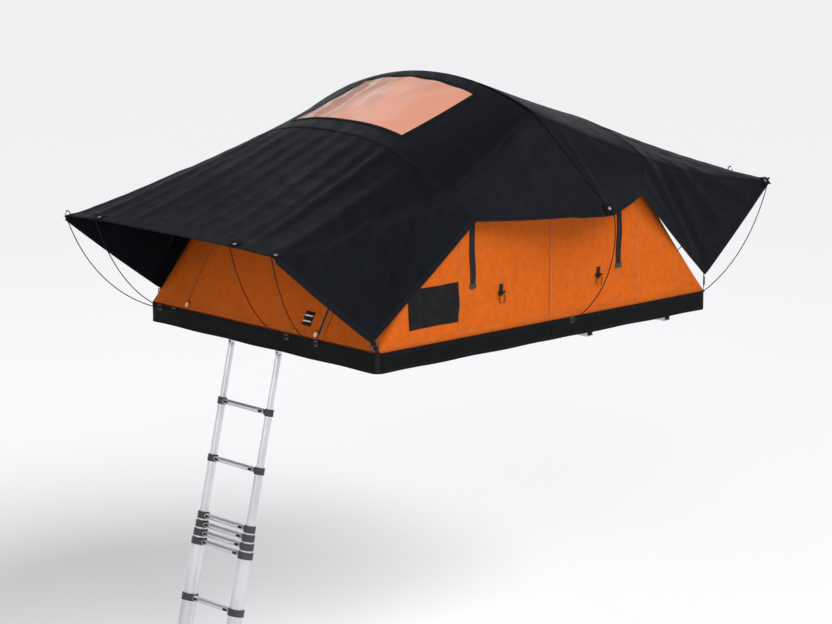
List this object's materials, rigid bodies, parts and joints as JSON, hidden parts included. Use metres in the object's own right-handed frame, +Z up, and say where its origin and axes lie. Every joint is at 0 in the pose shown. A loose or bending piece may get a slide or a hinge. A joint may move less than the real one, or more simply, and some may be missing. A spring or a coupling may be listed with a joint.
{
  "type": "roof top tent",
  "caption": "Fold-out soft-shell roof top tent with a flysheet, awnings on sprung rods, a skylight, hinged base halves, nested bows and a telescopic ladder.",
  "frame": {"origin": "centre of the four roof bar bolts, on the underside of the mounting rails", "axes": "+X away from the ladder along the opened tent, +Y across the tent, +Z up"},
  "size_m": [3.6335, 2.3442, 2.9731],
  "materials": {
    "frame_aluminium": "mill",
    "floor_panel": "matte",
    "steel_pin": "zinc plated",
    "mattress_cover": "woven",
    "orange_canvas": "coated canvas",
    "fly_fabric": "coated oxford",
    "clear_film": "clear film",
    "skirt_fabric": "coated",
    "rod_steel": "spring steel",
    "socket_plastic": "moulded",
    "webbing": "woven",
    "bow_aluminium": "anodised",
    "ladder_aluminium": "anodised",
    "collar_plastic": "moulded",
    "button_plastic": "moulded",
    "foot_rubber": "moulded"
  },
  "bodies": {
    "fixed_base": {"fixed_frame": "frame_aluminium", "fixed_panel": "floor_panel", "mounting_rails": "frame_aluminium", "fixed_hinge_plates": "frame_aluminium", "hinge_pins": "steel_pin", "fixed_mattress": "mattress_cover", "fixed_inner_tent": "orange_canvas", "fixed_flysheet": "fly_fabric", "fixed_skirt": "skirt_fabric", "fixed_rods": "rod_steel", "fixed_rod_sockets": "socket_plastic", "fixed_straps": "webbing"},
    "fold_base": {"fold_frame": "frame_aluminium", "fold_panel": "floor_panel", "fold_hinge_plates": "frame_aluminium", "fold_mattress": "mattress_cover", "fold_inner_tent": "orange_canvas", "fold_flysheet": "fly_fabric", "skylight": "clear_film", "fold_skirt": "skirt_fabric", "fold_rods": "rod_steel", "fold_rod_sockets": "socket_plastic", "fold_straps": "webbing", "ladder_brackets": "frame_aluminium", "ladder_pivots": "steel_pin"},
    "rear_bow": {"rear_bow": "bow_aluminium"},
    "middle_bow": {"middle_bow": "bow_aluminium"},
    "front_bow": {"front_bow": "bow_aluminium"},
    "ladder_8": {"ladder_section_8": "ladder_aluminium", "ladder_head": "collar_plastic"},
    "ladder_1": {"ladder_section_1": "ladder_aluminium", "ladder_collars_1": "collar_plastic", "ladder_feet": "foot_rubber"},
    "ladder_2": {"ladder_section_2": "ladder_aluminium", "ladder_collars_2": "collar_plastic"},
    "ladder_3": {"ladder_section_3": "ladder_aluminium", "ladder_collars_3": "collar_plastic"},
    "ladder_4": {"ladder_section_4": "ladder_aluminium", "ladder_collars_4": "collar_plastic"},
    "ladder_5": {"ladder_section_5": "ladder_aluminium", "ladder_collars_5": "collar_plastic"},
    "ladder_6": {"ladder_section_6": "ladder_aluminium", "ladder_collars_6": "collar_plastic"},
    "ladder_7": {"ladder_section_7": "ladder_aluminium", "ladder_collars_7": "collar_plastic"},
    "button_left_1": {"ladder_button_left_1": "button_plastic"},
    "button_right_1": {"ladder_button_right_1": "button_plastic"},
    "button_left_2": {"ladder_button_left_2": "button_plastic"},
    "button_right_2": {"ladder_button_right_2": "button_plastic"},
    "button_left_3": {"ladder_button_left_3": "button_plastic"},
    "button_right_3": {"ladder_button_right_3": "button_plastic"},
    "button_left_4": {"ladder_button_left_4": "button_plastic"},
    "button_right_4": {"ladder_button_right_4": "button_plastic"},
    "button_left_5": {"ladder_button_left_5": "button_plastic"},
    "button_right_5": {"ladder_button_right_5": "button_plastic"},
    "button_left_6": {"ladder_button_left_6": "button_plastic"},
    "button_right_6": {"ladder_button_right_6": "button_plastic"},
    "button_left_7": {"ladder_button_left_7": "button_plastic"},
    "button_right_7": {"ladder_button_right_7": "button_plastic"}
  },
  "joints": [
    {"name": "base_fold", "type": "hinge", "parent": "fixed_base", "child": "fold_base", "pos_m": [-0.6, 0, 0.18], "axis": [0, 1, 0], "range_deg": [0, 180], "deforming": ["fixed_inner_tent", "fold_inner_tent", "fixed_flysheet", "fold_flysheet", "skylight", "fixed_straps", "fold_straps"]},
    {"name": "rear_bow_turn", "type": "hinge", "parent": "fixed_base", "child": "rear_bow", "pos_m": [-0.6, 0, 0.18], "axis": [0, 1, 0], "range_deg": [0, 50]},
    {"name": "middle_bow_turn", "type": "hinge", "parent": "fixed_base", "child": "middle_bow", "pos_m": [-0.6, 0, 0.18], "axis": [0, 1, 0], "range_deg": [0, 90]},
    {"name": "front_bow_turn", "type": "hinge", "parent": "fold_base", "child": "front_bow", "pos_m": [-0.6, 0, 0.18], "axis": [0, 1, 0], "range_deg": [-50, 0]},
    {"name": "ladder_swing", "type": "hinge", "parent": "fold_base", "child": "ladder_8", "pos_m": [-1.768, 0.07, -0.006], "axis": [0, 1, 0], "range_deg": [0, 77]},
    {"name": "ladder_slide_7", "type": "slide", "parent": "ladder_8", "child": "ladder_7", "axis": [-0.225, 0, -0.9744], "range_m": [-0.225, 0]},
    {"name": "ladder_slide_6", "type": "slide", "parent": "ladder_7", "child": "ladder_6", "axis": [-0.225, 0, -0.9744], "range_m": [-0.255, 0]},
    {"name": "ladder_slide_5", "type": "slide", "parent": "ladder_6", "child": "ladder_5", "axis": [-0.225, 0, -0.9744], "range_m": [-0.255, 0]},
    {"name": "ladder_slide_4", "type": "slide", "parent": "ladder_5", "child": "ladder_4", "axis": [-0.225, 0, -0.9744], "range_m": [0, 0.255]},
    {"name": "ladder_slide_3", "type": "slide", "parent": "ladder_4", "child": "ladder_3", "axis": [-0.225, 0, -0.9744], "range_m": [0, 0.255]},
    {"name": "ladder_slide_2", "type": "slide", "parent": "ladder_3", "child": "ladder_2", "axis": [-0.225, 0, -0.9744], "range_m": [0, 0.255]},
    {"name": "ladder_slide_1", "type": "slide", "parent": "ladder_2", "child": "ladder_1", "axis": [-0.225, 0, -0.9744], "range_m": [-0.25, 0]},
    {"name": "button_left_1_press", "type": "slide", "parent": "ladder_1", "child": "button_left_1", "axis": [0, -1, 0], "range_m": [0, 0.009], "stiffness_N_per_m": 250, "springref_m": -0.002},
    {"name": "button_right_1_press", "type": "slide", "parent": "ladder_1", "child": "button_right_1", "axis": [0, 1, 0], "range_m": [0, 0.009], "stiffness_N_per_m": 250, "springref_m": -0.002},
    {"name": "button_left_2_press", "type": "slide", "parent": "ladder_2", "child": "button_left_2", "axis": [0, -1, 0], "range_m": [0, 0.009], "stiffness_N_per_m": 250, "springref_m": -0.002},
    {"name": "button_right_2_press", "type": "slide", "parent": "ladder_2", "child": "button_right_2", "axis": [0, 1, 0], "range_m": [0, 0.009], "stiffness_N_per_m": 250, "springref_m": -0.002},
    {"name": "button_left_3_press", "type": "slide", "parent": "ladder_3", "child": "button_left_3", "axis": [0, -1, 0], "range_m": [0, 0.009], "stiffness_N_per_m": 250, "springref_m": -0.002},
    {"name": "button_right_3_press", "type": "slide", "parent": "ladder_3", "child": "button_right_3", "axis": [0, 1, 0], "range_m": [0, 0.009], "stiffness_N_per_m": 250, "springref_m": -0.002},
    {"name": "button_left_4_press", "type": "slide", "parent": "ladder_4", "child": "button_left_4", "axis": [0, -1, 0], "range_m": [0, 0.009], "stiffness_N_per_m": 250, "springref_m": -0.002},
    {"name": "button_right_4_press", "type": "slide", "parent": "ladder_4", "child": "button_right_4", "axis": [0, 1, 0], "range_m": [0, 0.009], "stiffness_N_per_m": 250, "springref_m": -0.002},
    {"name": "button_left_5_press", "type": "slide", "parent": "ladder_5", "child": "button_left_5", "axis": [0, -1, 0], "range_m": [0, 0.009], "stiffness_N_per_m": 250, "springref_m": -0.002},
    {"name": "button_right_5_press", "type": "slide", "parent": "ladder_5", "child": "button_right_5", "axis": [0, 1, 0], "range_m": [0, 0.009], "stiffness_N_per_m": 250, "springref_m": -0.002},
    {"name": "button_left_6_press", "type": "slide", "parent": "ladder_6", "child": "button_left_6", "axis": [0, -1, 0], "range_m": [0, 0.009], "stiffness_N_per_m": 250, "springref_m": -0.002},
    {"name": "button_right_6_press", "type": "slide", "parent": "ladder_6", "child": "button_right_6", "axis": [0, 1, 0], "range_m": [0, 0.009], "stiffness_N_per_m": 250, "springref_m": -0.002},
    {"name": "button_left_7_press", "type": "slide", "parent": "ladder_7", "child": "button_left_7", "axis": [0, -1, 0], "range_m": [0, 0.009], "stiffness_N_per_m": 250, "springref_m": -0.002},
    {"name": "button_right_7_press", "type": "slide", "parent": "ladder_7", "child": "button_right_7", "axis": [0, 1, 0], "range_m": [0, 0.009], "stiffness_N_per_m": 250, "springref_m": -0.002}
  ],
  "couplings": [
    {"joint": "rear_bow_turn", "follows": "base_fold", "ratio": 0.27778},
    {"joint": "middle_bow_turn", "follows": "base_fold", "ratio": 0.5},
    {"joint": "front_bow_turn", "follows": "base_fold", "ratio": -0.27778}
  ]
}
